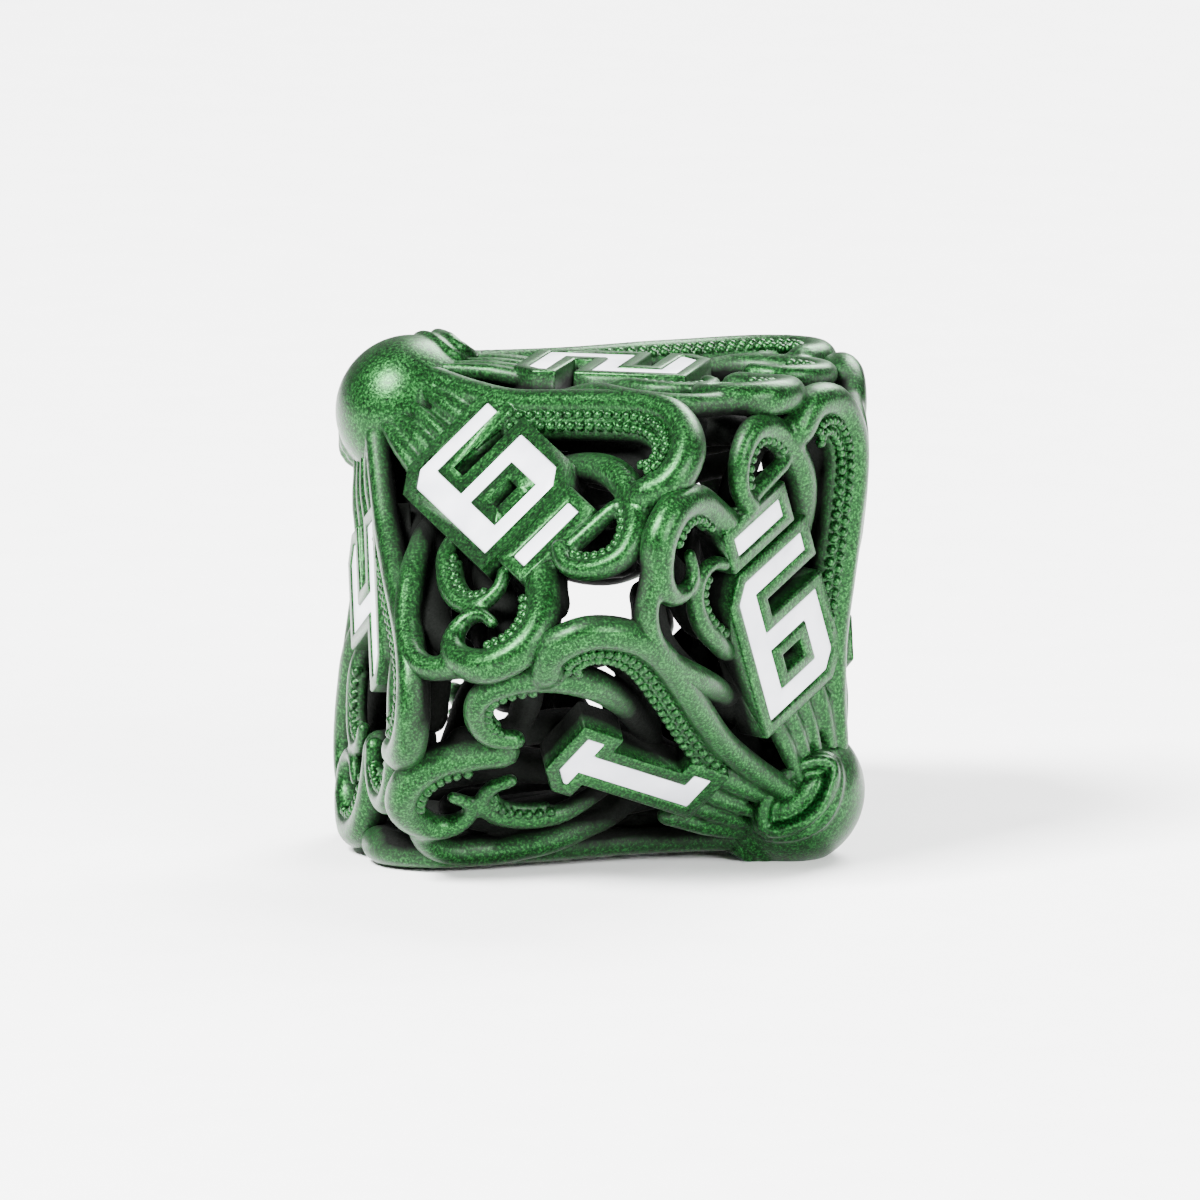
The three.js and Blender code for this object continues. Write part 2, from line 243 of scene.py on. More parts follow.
def catmull(points, t):
    """A point of a smooth curve through points, with t from 0 to 1."""
    spans = len(points) - 1
    place = min(max(t, 0.0), 1.0) * spans
    i = min(int(place), spans - 1)
    f = place - i
    p1, p2 = points[i], points[i + 1]
    p0 = points[i - 1] if i else p1 * 2 - p2
    p3 = points[i + 2] if i + 2 <= spans else p2 * 2 - p1
    return 0.5 * (
        p1 * 2 + (p2 - p0) * f + (p0 * 2 - p1 * 5 + p2 * 4 - p3) * f * f
        + (p1 * 3 - p0 - p2 * 3 + p3) * f * f * f
    )


FINE_SPANS = 400


def even_route(points, step):
    """Points a step apart along the smooth curve through points."""
    fine = [catmull(points, i / FINE_SPANS) for i in range(FINE_SPANS + 1)]
    walked = [0.0]
    for a, b in zip(fine, fine[1:]):
        walked.append(walked[-1] + (b - a).length)
    count = max(2, round(walked[-1] / step))
    route, i = [], 0
    for n in range(count + 1):
        goal = walked[-1] * n / count
        while i < len(fine) - 2 and walked[i + 1] < goal:
            i += 1
        share = (goal - walked[i]) / max(walked[i + 1] - walked[i], 1e-9)
        route.append(fine[i].lerp(fine[i + 1], min(max(share, 0), 1)))
    return route


def blend3(values, t):
    """Three values taken at the root, half way and at the tip."""
    a, b, c = values
    f = 2 * t if t < 0.5 else 2 * t - 1
    f = f * f * (3 - 2 * f)
    return a + (b - a) * f if t < 0.5 else b + (c - b) * f


def sweep(bm, frames, sides):
    """A closed tube through frames: a ring is made at the first, then extruded to each next one."""
    made = bmesh.ops.create_circle(bm, cap_ends=False, segments=sides, radius=1, matrix=frames[0])
    ring = made["verts"]
    edges = list({e for v in ring for e in v.link_edges})
    bmesh.ops.contextual_create(bm, geom=edges)
    for before, after in zip(frames, frames[1:]):
        grown = bmesh.ops.extrude_edge_only(bm, edges=edges)["geom"]
        ring = [g for g in grown if isinstance(g, bmesh.types.BMVert)]
        edges = [g for g in grown if isinstance(g, bmesh.types.BMEdge)]
        bmesh.ops.transform(bm, matrix=after @ before.inverted(), verts=ring)
    bmesh.ops.contextual_create(bm, geom=edges)


# ---------------------------------------------------------------------------------------------
# The arms of one face, in belt radii from the face's middle, pole upwards


def straight(x0, y0, x1, y1):
    return [(x0, y0), ((x0 + x1) / 2, (y0 + y1) / 2), (x1, y1)]


SUCKER_ARM = dict(
    route=[(0.1, 0.42), (0.145, 0.27), (0.2, 0.13), (0.28, 0), (0.365, -0.13), (0.44, -0.26),
           (0.465, -0.37), (0.43, -0.48), (0.34, -0.53), (0.26, -0.5)],
    radii=(0.036, 0.042, 0.052), depths=(0, -0.01, -OUTSTAND),
    suckers=(0.2, 1.0, -1, 0.05, 2),
)
RING_ARM = dict(
    route=[(0.02, 0.06), (0.15, -0.12), (0.21, -0.22), (0.245, -0.33), (0.235, -0.44),
           (0.18, -0.55), (0.1, -0.6), (0.02, -0.565), (-0.02, -0.49), (0, -0.42)],
    radii=(0.034, 0.046, 0.028), depths=(0.09, 0, -OUTSTAND / 2),
    suckers=(0.62, 0.98, -1, 0.034, 1),
)
OUTER_ARM = dict(
    route=[(-0.03, 0.12), (-0.2, 0.07), (-0.27, 0), (-0.36, -0.1), (-0.44, -0.2), (-0.48, -0.3),
           (-0.47, -0.38), (-0.41, -0.46)],
    radii=(0.03, 0.04, 0.034), depths=(0.09, 0, 0),
    suckers=None,
)
HOOK_ARM = dict(
    route=[(-0.03, 0.06), (-0.2, -0.08), (-0.25, -0.15), (-0.285, -0.22), (-0.29, -0.3),
           (-0.25, -0.355), (-0.19, -0.36), (-0.15, -0.33)],
    radii=(0.024, 0.03, 0.02), depths=(0.09, 0, 0),
    suckers=(0.45, 0.9, 1, 0.03, 1),
)
CURLED_ARM = dict(
    route=[(-0.08, -0.4), (-0.12, -0.47), (-0.18, -0.55), (-0.27, -0.58), (-0.36, -0.54),
           (-0.4, -0.45), (-0.38, -0.38), (-0.32, -0.355), (-0.275, -0.385), (-0.27, -0.44)],
    radii=(0.05, 0.05, 0.018), depths=(0, -OUTSTAND, 0),
    suckers=(0.15, 0.55, -1, 0.045, 1),
)
BACK_ARM = dict(
    route=[(0, 0.22), (0, 0), (-0.03, -0.2), (-0.06, -0.36), (-0.12, -0.5)],
    radii=(0.05, 0.05, 0.045), depths=(0.06, 0.12, 0.03), suckers=None,
)
INNER_ARMS = [
    dict(route=route, radii=radii, depths=depths, suckers=None)
    for route, radii, depths in (
        ([(0.03, 0.3), (0.17, 0.1), (0.3, -0.1), (0.38, -0.3), (0.33, -0.43)],
         (0.04, 0.05, 0.045), (0.09, 0.08, 0.06)),
        ([(0, 0.05), (0.13, -0.05), (0.24, -0.16), (0.3, -0.3)],
         (0.04, 0.045, 0.04), (0.12, 0.11, 0.1)),
        ([(-0.03, 0.3), (-0.17, 0.12), (-0.3, -0.05), (-0.38, -0.22), (-0.38, -0.35)],
         (0.04, 0.05, 0.04), (0.09, 0.08, 0.06)),
        ([(-0.05, -0.02), (-0.17, -0.14), (-0.22, -0.3), (-0.31, -0.46)],
         (0.04, 0.05, 0.045), (0.12, 0.1, 0.08)),
        ([(-0.06, -0.36), (0.06, -0.4), (0.13, -0.47), (0.18, -0.53)],
         (0.035, 0.045, 0.04), (0.08, 0.08, 0.06)),
    )
]
STUB_ARM = dict(
    route=straight(0, -0.435, 0.175, -0.45), radii=(0.026, 0.026, 0.024), depths=(0, 0, 0),
    suckers=None,
)
ROOT_STRANDS = [
    dict(route=straight(*ends), radii=radii, depths=(0.006, 0, 0.01), suckers=None)
    for ends, radii in (
        ((-0.082, 0.42, -0.118, 0.17), (0.018, 0.026, 0.028)),
        ((-0.04, 0.42, -0.052, 0.17), (0.016, 0.024, 0.027)),
        ((0.005, 0.42, 0.01, 0.17), (0.016, 0.023, 0.026)),
        ((0.062, 0.42, 0.082, 0.17), (0.022, 0.032, 0.036)),
    )
]
FACE_ARMS = [*ROOT_STRANDS, SUCKER_ARM, RING_ARM, OUTER_ARM, HOOK_ARM, CURLED_ARM, BACK_ARM,
             *INNER_ARMS]


RING_STEP = 0.3  # distance between the rings of an arm
ROUND_END = ((0, 1), (0.6, 0.78), (0.9, 0.35))  # how far out each end ring stands, and its width


def arm_frames(arm, side):
    """Ring frames of an arm, its rounded ends included."""
    points = [Vector((side * x, y, 0)) * BELT_RADIUS for x, y in arm["route"]]
    route = even_route(points, RING_STEP)
    last = len(route) - 1
    frames = []
    for i, point in enumerate(route):
        t = i / last
        ahead = (route[min(i + 1, last)] - route[max(i - 1, 0)]).normalized()
        across = Vector((ahead.y, -ahead.x, 0))
        radius = blend3(arm["radii"], t) * BELT_RADIUS
        depth = blend3(arm["depths"], t) * BELT_RADIUS + radius
        centre = point - Vector((0, 0, depth))
        for back, share in end_rings(i, last):
            ring = radius * share
            place = centre + ahead * back * radius
            turn = basis(-across, Vector((0, 0, 1)), ahead, place)
            frames.append(turn @ Matrix.Diagonal((ring, ring, 1, 1)))
    return frames


def end_rings(i, last):
    """How far each ring stands off the route's point along it, and its share of the radius."""
    if i == 0:
        return [(-back, share) for back, share in reversed(ROUND_END)]
    if i == last:
        return ROUND_END
    return ROUND_END[:1]


def add_arm(bm, arm, side):
    sweep(bm, arm_frames(arm, side), bpy.context.scene.die_metal.arm_sides)


BAND_HALF = 0.24  # half width of the flank under one row of suckers
BAND_DROP = 0.22  # how far the flank lies under the arm's top
BAND_SIDES = 10
ROW_DROP = 0.05  # each further row lies this much deeper


def sucker_route(arm, side, step):
    """Points and inward directions along the sucker band of an arm, a step apart."""
    start, end, hand, offset, _ = arm["suckers"]
    points = [Vector((side * x, y, 0)) * BELT_RADIUS for x, y in arm["route"]]
    route = even_route(points, step)
    last = len(route) - 1
    for i in range(int(start * last), int(end * last)):
        ahead = (route[i + 1] - route[max(i - 1, 0)]).normalized()
        inner = Vector((ahead.y, -ahead.x, 0)) * (-hand * side)
        drop = Vector((0, 0, blend3(arm["depths"], i / last) * BELT_RADIUS))
        yield route[i] + inner * offset * BELT_RADIUS - drop, ahead, inner


def add_sucker_band(bm, arm, side):
    """The soft inner flank that carries an arm's suckers."""
    rows = arm["suckers"][4]
    step = bpy.context.scene.die_metal.sucker_step / MM
    half = BAND_HALF * rows
    frames = []
    for place, ahead, inner in sucker_route(arm, side, step):
        middle = place + inner * step / 2 * (rows - 1) - Vector((0, 0, BAND_DROP + half))
        across = Vector((-ahead.y, ahead.x, 0))
        turn = basis(across, Vector((0, 0, 1)), ahead, middle)
        frames.append(turn @ Matrix.Diagonal((half, half, 1, 1)))
    sweep(bm, frames, BAND_SIDES)


def add_suckers(bm, arm, side):
    rows = arm["suckers"][4]
    settings = bpy.context.scene.die_metal
    step = settings.sucker_step / MM
    size = settings.sucker / MM
    for place, ahead, inner in sucker_route(arm, side, step):
        for row in range(rows):
            spot = place + inner * step * row + ahead * step / 2 * row
            spot.z -= BAND_DROP + size * 0.1 + ROW_DROP * row
            bmesh.ops.create_uvsphere(
                bm, u_segments=8, v_segments=5, radius=size, matrix=Matrix.Translation(spot)
            )


def arm_lattice(side, underlined):
    """The arms of one face as one fused casting, in the face's own axes."""
    bm = bmesh.new()
    arms = FACE_ARMS + [STUB_ARM] if underlined else FACE_ARMS
    for arm in arms:
        add_arm(bm, arm, side)
        if arm["suckers"]:
            add_sucker_band(bm, arm, side)
    bmesh.ops.recalc_face_normals(bm, faces=bm.faces)
    lattice = object_of(bm, "lattice")
    fuse = lattice.modifiers.new("fuse", "REMESH")
    fuse.mode = "VOXEL"
    fuse.voxel_size = bpy.context.scene.die_metal.grain / MM
    soften = lattice.modifiers.new("soften", "SMOOTH")
    soften.factor = 0.5
    soften.iterations = 3
    evaluated(lattice)
    bm = bmesh.new()
    for arm in arms:
        if arm["suckers"]:
            add_suckers(bm, arm, side)
    return combined(lattice, object_of(bm, "suckers"), "UNION")


# ---------------------------------------------------------------------------------------------
# Numbers, built of straight strokes named as on a seven-segment display


STROKES = {
    0: "ABCDEF", 2: "ABGED", 3: "ABGCD", 4: "FGBC", 5: "AFGCD", 6: "AFGECD", 7: "ABC",
    8: "ABCDEFG", 9: "ABCDFG",
}


FLAG_REACH = 1.1  # reach of the flag of the 1, in upright strokes
FOOT_SHARE = 0.6  # width of the foot of the 1, as a share of the number's
RIM_BEVEL = 0.09
ENAMEL_BEVEL = 0.06
BEVEL_SEGMENTS = 2


def stroke_boxes(number):
    n = bpy.context.scene.die_numbers
    x, y = n.width / MM / 2, n.height / MM / 2
    upright, level = n.upright / MM, n.level / MM
    if number == 1:
        return [
            (-upright / 2, upright / 2, -y, y),
            (-upright * FLAG_REACH, 0, y - level, y),
            (-x * FOOT_SHARE, x * FOOT_SHARE, -y, level - y),
        ]
    boxes = {
        "A": (-x, x, y - level, y),
        "B": (x - upright, x, -level / 2, y),
        "C": (x - upright, x, -y, level / 2),
        "D": (-x, x, -y, level - y),
        "E": (-x, upright - x, -y, level / 2),
        "F": (-x, upright - x, -level / 2, y),
        "G": (-x, x, -level / 2, level / 2),
    }
    return [boxes[name] for name in STROKES[number]]


def box_object(x0, x1, y0, y1, z0, z1):
    bm = bmesh.new()
    size = Matrix.Diagonal((x1 - x0, y1 - y0, z1 - z0, 1))
    middle = Matrix.Translation(((x0 + x1) / 2, (y0 + y1) / 2, (z0 + z1) / 2))
    bmesh.ops.create_cube(bm, size=1, matrix=middle @ size)
    return object_of(bm, "box")


def cut_corners(piece, cut):
    """Cuts the top left and bottom right corners of a number, as its block letters have."""
    bm = bmesh.new()
    bm.from_mesh(piece.data)
    bmesh.ops.remove_doubles(bm, verts=bm.verts, dist=1e-4)
    bmesh.ops.dissolve_limit(bm, angle_limit=0.01, verts=bm.verts, edges=bm.edges)
    xs = [v.co.x for v in bm.verts]
    ys = [v.co.y for v in bm.verts]
    spots = ((min(xs), max(ys)), (max(xs), min(ys)))
    corners = [
        e for e in bm.edges
        if abs((e.verts[0].co - e.verts[1].co).normalized().z) > 0.9
        and any((e.verts[0].co.xy - Vector(spot)).length < 1e-3 for spot in spots)
    ]
    if corners:
        bmesh.ops.bevel(bm, geom=corners, offset=cut, offset_type="OFFSET", segments=1, profile=0.5,
                        affect="EDGES", material=-1)
    bm.to_mesh(piece.data)
    bm.free()
    return piece


def number_object(number, grow, z0, z1):
    """A number as a solid between two heights, grown all round by grow."""
    n = bpy.context.scene.die_numbers
    lift = n.lift / MM
    boxes = [
        box_object(x0 - grow, x1 + grow, y0 - grow + lift, y1 + grow + lift, z0, z1)
        for x0, x1, y0, y1 in stroke_boxes(number)
    ]
    whole = boxes[0]
    for box in boxes[1:]:
        combined(whole, box, "UNION")
    return cut_corners(whole, n.corner / MM + grow * (2 - math.sqrt(2)))


def bar_object(grow, z0, z1):
    n = bpy.context.scene.die_numbers
    top = (n.lift - n.height / 2 - n.bar_drop) / MM
    half = n.bar_width / MM / 2 + grow
    return box_object(-half, half, top - n.bar_height / MM - grow, top + grow, z0, z1)


def pocket_fills(number, low, high):
    """What fills a number's pocket between two heights, and its underline's."""
    fills = [number_object(number, 0, low, high)]
    if number in UNDERLINED:
        fills.append(bar_object(0, low, high))
    return fills


def bevelled(piece, width):
    """Rounds a piece's sharp edges."""
    bm = bmesh.new()
    bm.from_mesh(piece.data)
    bmesh.ops.remove_doubles(bm, verts=bm.verts, dist=1e-4)
    bmesh.ops.dissolve_limit(bm, angle_limit=0.01, verts=bm.verts, edges=bm.edges)
    sharp = [e for e in bm.edges if e.is_manifold and e.calc_face_angle() > 0.5]
    bmesh.ops.bevel(bm, geom=sharp, offset=width, offset_type="OFFSET", segments=BEVEL_SEGMENTS,
                    profile=0.5, affect="EDGES", material=-1, clamp_overlap=True)
    bmesh.ops.triangulate(bm, faces=bm.faces)
    bm.to_mesh(piece.data)
    bm.free()
    return piece


def number_frame(number):
    """The raised green frame of a number, with the pocket for its enamel."""
    n = bpy.context.scene.die_numbers
    rim, back, pocket = n.rim / MM, -n.thickness / MM, -n.pocket / MM
    plates = [number_object(number, rim, back, 0)]
    if number in UNDERLINED:
        plates.append(bar_object(rim, back, 0))
    for plate, fill in zip(plates, pocket_fills(number, pocket, 1)):
        combined(plate, fill, "DIFFERENCE")
    return [bevelled(plate, RIM_BEVEL) for plate in plates]


# ---------------------------------------------------------------------------------------------
# Shared shapes and marks


def hull_object(place, proud):
    """The trapezohedron, with its faces moved out by proud, in another shape's own axes."""
    bm = bmesh.new()
    corners = [Vector((0, 0, POLE_RATIO)), Vector((0, 0, -POLE_RATIO))]
    corners += [belt_corner(k) for k in range(10)]
    radius = BELT_RADIUS + proud / face_axes(0)[3]
    for corner in corners:
        bm.verts.new(corner * radius)
    made = bmesh.ops.convex_hull(bm, input=bm.verts)
    bmesh.ops.delete(bm, geom=made["geom_interior"], context="VERTS")
    bmesh.ops.transform(bm, matrix=place, verts=bm.verts)
    bmesh.ops.recalc_face_normals(bm, faces=bm.faces)
    return object_of(bm, "hull")


def die_from_face():
    """A face's own axes in the die's axes. Every face sees the same hull."""
    right, up, out, distance = face_axes(0)
    return basis(right, up, out, out * distance * BELT_RADIUS)


def mark_recess(piece):
    """Stores how deep each point lies under the die's ten planes, in millimetres."""
    planes = []
    for k in range(10):
        _, _, out, distance = face_axes(k)
        planes.append((DIE.to_3x3() @ out, distance * BELT_RADIUS))
    centre = DIE.translation
    mesh = piece.data
    depth = mesh.attributes.new("recess", "FLOAT", "POINT")
    for i, vertex in enumerate(mesh.vertices):
        spot = vertex.co / MM - centre
        depth.data[i].value = min(reach - out.dot(spot) for out, reach in planes)


# ---------------------------------------------------------------------------------------------
# Heads, in the die's axes with the pole upwards


HEAD_RADIUS = 2.58
HEAD_LENGTH = 2.5
HEAD_HEIGHT = 9.3
NECK_END = 6.4
HEAD_PROUD = 0.75  # furthest that a head stands out of the faces round it
EYE_ANGLE = math.radians(54)
UPPER_BROW = math.radians(162)
LOWER_TURN = math.radians(-108)
EYE_RISE = 0.35  # the eyes' middle above the mantle's
EYE_HALF_WIDTH = 1.3
EYE_HALF_HEIGHT = 0.55
LIDS = ((0.26, 0.26, 0.2), (0.66, 0.2, 0.0))  # growth round the eye, radius, distance off the skin
LID_SIDES = 12
LID_RINGS = 40
EYEBALL = (0.52, 1.1, 0.5)
EYEBALL_SINK = 0.36
NECK_ROOT_RADIUS = 1.75
NECK_TOP_RADIUS = 2.1
SKIN_KNOBS = 150
HEAD_GRAIN = 0.075
ABOVE_FLOOR = (-20, 20, -20, 20, 0, 40)  # a box that leaves off what would sink into the floor


def on_head(azimuth, rise, stand_off=0.0):
    """A point on the mantle, by azimuth round the pole, rise above its middle, and standing off."""
    ring = HEAD_RADIUS * math.sqrt(max(0.0, 1 - (rise / HEAD_LENGTH) ** 2)) + stand_off
    return Vector((ring * math.cos(azimuth), ring * math.sin(azimuth), HEAD_HEIGHT + rise))


def lid_frames(azimuth, grow, radius, stand_off):
    """Ring frames round an almond-shaped eye opening."""
    spots = []
    for i in range(LID_RINGS + 2):
        angle = 2 * math.pi * i / LID_RINGS
        wide = (EYE_HALF_WIDTH + grow) * math.cos(angle)
        lean = math.sin(angle)
        tall = (EYE_HALF_HEIGHT + grow) * lean * abs(lean) ** 0.35
        spots.append(on_head(azimuth + wide / HEAD_RADIUS, tall + EYE_RISE, stand_off))
    frames = []
    for before, spot, after in zip(spots, spots[1:], spots[2:]):
        ahead = (after - before).normalized()
        out = Vector((spot.x, spot.y, 0)).normalized()
        across = out.cross(ahead).normalized()
        up = ahead.cross(across)
        frames.append(basis(across, up, ahead, spot) @ Matrix.Diagonal((radius, radius, 1, 1)))
    return frames


def add_head_skin(bm):
    """Knobbly skin round the base of the mantle, below the eyes."""
    draw = random.Random(11)
    for _ in range(SKIN_KNOBS):
        azimuth = draw.uniform(0, 2 * math.pi)
        rise = draw.uniform(-1.9, -0.8)
        spot = on_head(azimuth, rise, draw.uniform(-0.06, 0.02))
        bmesh.ops.create_uvsphere(
            bm, u_segments=8, v_segments=6, radius=draw.uniform(0.12, 0.24),
            matrix=Matrix.Translation(spot),
        )


def head_object():
    """One octopus head: mantle, neck, brows, lids and eyeballs, fused and levelled to the faces."""
    bm = bmesh.new()
    shape = Matrix.Diagonal((HEAD_RADIUS, HEAD_RADIUS, HEAD_LENGTH, 1))
    mantle = Matrix.Translation((0, 0, HEAD_HEIGHT)) @ shape
    bmesh.ops.create_uvsphere(bm, u_segments=64, v_segments=40, radius=1, matrix=mantle)
    neck_length = HEAD_HEIGHT - NECK_END
    bmesh.ops.create_cone(
        bm, cap_ends=True, segments=48, radius1=NECK_ROOT_RADIUS, radius2=NECK_TOP_RADIUS,
        depth=neck_length,
        matrix=Matrix.Translation((0, 0, HEAD_HEIGHT - neck_length / 2)),
    )
    for turn in (-EYE_ANGLE, EYE_ANGLE):
        azimuth = UPPER_BROW + turn
        for grow, radius, stand_off in LIDS:
            sweep(bm, lid_frames(azimuth, grow, radius, stand_off), LID_SIDES)
        spot = on_head(azimuth, EYE_RISE, -EYEBALL_SINK)
        turned = Matrix.Rotation(azimuth, 4, "Z")
        ball = Matrix.Translation(spot) @ turned @ Matrix.Diagonal((*EYEBALL, 1))
        bmesh.ops.create_uvsphere(bm, u_segments=32, v_segments=20, radius=1, matrix=ball)
    add_head_skin(bm)
    bmesh.ops.recalc_face_normals(bm, faces=bm.faces)
    head = object_of(bm, "head")
    level = hull_object(Matrix.Identity(4), HEAD_PROUD)
    for name in ("fuse", "refuse"):
        fuse = head.modifiers.new(name, "REMESH")
        fuse.mode = "VOXEL"
        fuse.voxel_size = HEAD_GRAIN
        if name == "fuse":
            cut = head.modifiers.new("level", "BOOLEAN")
            cut.operation = "INTERSECT"
            cut.solver = "MANIFOLD"
            cut.object = level
    soften = head.modifiers.new("soften", "SMOOTH")
    soften.factor = 0.5
    soften.iterations = 4
    evaluated(head)
    bpy.data.objects.remove(level)
    return head


# ---------------------------------------------------------------------------------------------
# Materials


def linear(code):
    """An sRGB hex colour as linear red, green, blue and alpha."""
    parts = [int(code[i:i + 2], 16) / 255 for i in (1, 3, 5)]
    return (*[p / 12.92 if p <= 0.04045 else ((p + 0.055) / 1.055) ** 2.4 for p in parts], 1.0)


def node(tree, kind, settings=None, **links):
    """Adds a node, sets its properties and socket values, and links other nodes' outputs to it."""
    made = tree.nodes.new(kind)
    for name, value in (settings or {}).items():
        if isinstance(name, int) or name in made.inputs:
            made.inputs[name].default_value = value
        else:
            setattr(made, name, value)
    for name, output in links.items():
        number = name[1:]
        socket = made.inputs[int(number) if number.isdigit() else name.replace("_", " ")]
        tree.links.new(output, socket)
    return made


def ramp(tree, factor, stops):
    """A colour ramp through (position, colour) stops."""
    made = node(tree, "ShaderNodeValToRGB", i0=factor)
    colours = made.color_ramp.elements
    while len(colours) < len(stops):
        colours.new(0.5)
    for element, (place, colour) in zip(colours, stops):
        element.position = place
        element.color = colour
    return made


def grey(level):
    return (level, level, level, 1)


def new_material(name):
    material = bpy.data.materials.new(name)
    material.use_nodes = True
    tree = material.node_tree
    tree.nodes.clear()
    return material, tree


def lacquered_zinc():
    """Cast zinc alloy, sprayed with metallic green lacquer and washed with matt black. The wash grows
    darker with depth, so it also paints in the shade of the hollows.

    The eye sees a grainy, sparkling green with pale highlights, and nearly black hollows whose darkness
    is partly painted shade.
    """
    material, tree = new_material("metallic_green_lacquer_on_cast_zinc")
    place = node(tree, "ShaderNodeTexCoord").outputs["Object"]
    recess = node(tree, "ShaderNodeAttribute", {"attribute_name": "recess"}).outputs["Fac"]
    # The flakes are drawn about 0.09 mm across, coarser than real ones, so that they show.
    flakes = node(tree, "ShaderNodeTexNoise", {"Scale": 11000.0, "Detail": 3.0, "Roughness": 0.7},
                  Vector=place)
    clouds = node(tree, "ShaderNodeTexNoise", {"Scale": 900.0, "Detail": 4.0, "Roughness": 0.6},
                  Vector=place)
    greens = ramp(tree, flakes.outputs["Fac"], [
        (0.32, linear("#031806")), (0.5, linear("#093A12")), (0.68, linear("#2C7836")),
    ])
    tone = ramp(tree, clouds.outputs["Fac"], [(0.3, grey(0.72)), (0.7, grey(1.0))])
    varied = node(tree, "ShaderNodeMix",
                  {"data_type": "RGBA", "blend_type": "MULTIPLY", "Factor": 1.0},
                  i6=greens.outputs["Color"], i7=tone.outputs["Color"])
    # The black wash, which also serves as painted shade in the hollows and inside the die, starts just
    # under the faces and is full about 0.65 mm below them.
    sunk = node(tree, "ShaderNodeMath", {"operation": "MULTIPLY_ADD", 1: 0.5},
                i0=clouds.outputs["Fac"], i2=recess)
    black_wash_and_painted_shade = node(tree, "ShaderNodeMapRange", {"From Min": 0.3, "From Max": 0.9}, Value=sunk.outputs[0])
    # Mixes near-black into the colour, darker the deeper a point lies: part black wash, part painted
    # shade.
    colour_with_wash_and_painted_shade = node(tree, "ShaderNodeMix", {"data_type": "RGBA", 7: linear("#020402")},
                  i0=black_wash_and_painted_shade.outputs["Result"], i6=varied.outputs[2])
    rough = node(tree, "ShaderNodeMapRange",
                 {"From Min": 0.3, "From Max": 0.7, "To Min": 0.26, "To Max": 0.46},
                 Value=flakes.outputs["Fac"])
    # The black wash and its painted shade are matt, where the lacquer shines.
    dulled = node(tree, "ShaderNodeMath", {"operation": "MULTIPLY_ADD", 1: 0.45},
                  i0=black_wash_and_painted_shade.outputs["Result"], i2=rough.outputs["Result"])
    metal, shine, coat = (
        node(tree, "ShaderNodeMapRange", {"To Min": bare, "To Max": covered},
             Value=black_wash_and_painted_shade.outputs["Result"])
        for bare, covered in ((0.85, 0.0), (0.5, 0.1), (0.1, 0.0))
    )
    bump = node(tree, "ShaderNodeBump", {"Strength": 0.35, "Distance": 0.00004},
                Height=flakes.outputs["Fac"])
    shader = node(tree, "ShaderNodeBsdfPrincipled", {"Coat Roughness": 0.25},
                  Base_Color=colour_with_wash_and_painted_shade.outputs[2], Roughness=dulled.outputs[0],
                  Coat_Weight=coat.outputs["Result"], Metallic=metal.outputs["Result"],
                  Specular_IOR_Level=shine.outputs["Result"], Normal=bump.outputs["Normal"])
    node(tree, "ShaderNodeOutputMaterial", Surface=shader.outputs[0])
    return material


def white_enamel():
    """Soft enamel, filled in by needle and baked: a smooth cool white, a little uneven."""
    material, tree = new_material("needle_filled_white_enamel")
    place = node(tree, "ShaderNodeTexCoord").outputs["Object"]
    clouds = node(tree, "ShaderNodeTexNoise", {"Scale": 700.0, "Detail": 3.0}, Vector=place)
    whites = ramp(tree, clouds.outputs["Fac"], [(0.3, linear("#C6C8D0")), (0.7, linear("#DEDFE6"))])
    rough = node(tree, "ShaderNodeMapRange", {"To Min": 0.25, "To Max": 0.42},
                 Value=clouds.outputs["Fac"])
    bump = node(tree, "ShaderNodeBump", {"Strength": 0.2, "Distance": 0.00005},
                Height=clouds.outputs["Fac"])
    shader = node(tree, "ShaderNodeBsdfPrincipled", Base_Color=whites.outputs["Color"],
                  Roughness=rough.outputs["Result"], Normal=bump.outputs["Normal"])
    node(tree, "ShaderNodeOutputMaterial", Surface=shader.outputs[0])
    return material


def material_named(name, make):
    return bpy.data.materials.get(name) or make()


def green_metal():
    return material_named("metallic_green_lacquer_on_cast_zinc", lacquered_zinc)


def enamel():
    return material_named("needle_filled_white_enamel", white_enamel)


# ---------------------------------------------------------------------------------------------
# Operators


class DIE_OT_heads(bpy.types.Operator):
    """Builds the two octopus heads"""

    bl_idname = "die.heads"
    bl_label = "Octopus Heads"

    def execute(self, context):
        for name, place in (("upper_head", DIE), ("lower_head", DIE @ lower_place(LOWER_TURN))):
            head = head_object()
            above_floor = box_object(*ABOVE_FLOOR)
            above_floor.data.transform(place.inverted())
            head = placed(combined(head, above_floor, "INTERSECT"), place)
            head.name = name + "_casting"
            mark_recess(head)
            on_frame(head, [name], green_metal())
        return {"FINISHED"}


class DIE_OT_panels(bpy.types.Operator):
    """Builds the ten lattice panels with their number frames"""

    bl_idname = "die.panels"
    bl_label = "Lattice Panels"

    def execute(self, context):
        lattices = {}
        for k, number in enumerate(NUMBERS):
            kind = (-1 if k % 2 else 1, number in UNDERLINED)
            if kind not in lattices:
                lattices[kind] = trimmed(arm_lattice(*kind))
            panel = lattices[kind].copy()
            panel.data = panel.data.copy()
            context.scene.collection.objects.link(panel)
            for part in number_frame(number):
                combined(panel, part, "UNION")
            for fill in pocket_fills(number, -context.scene.die_numbers.pocket / MM, 1):
                combined(panel, fill, "DIFFERENCE")
            placed(panel, face_place(k))
            panel.name = f"panel_{number}_casting"
            mark_recess(panel)
            on_frame(panel, [f"panel_{number}"], green_metal())
        for lattice in lattices.values():
            bpy.data.objects.remove(lattice)
        return {"FINISHED"}


def trimmed(lattice):
    """Cuts what stands out of the die's hull."""
    return combined(lattice, hull_object(die_from_face().inverted(), PROUD), "INTERSECT")


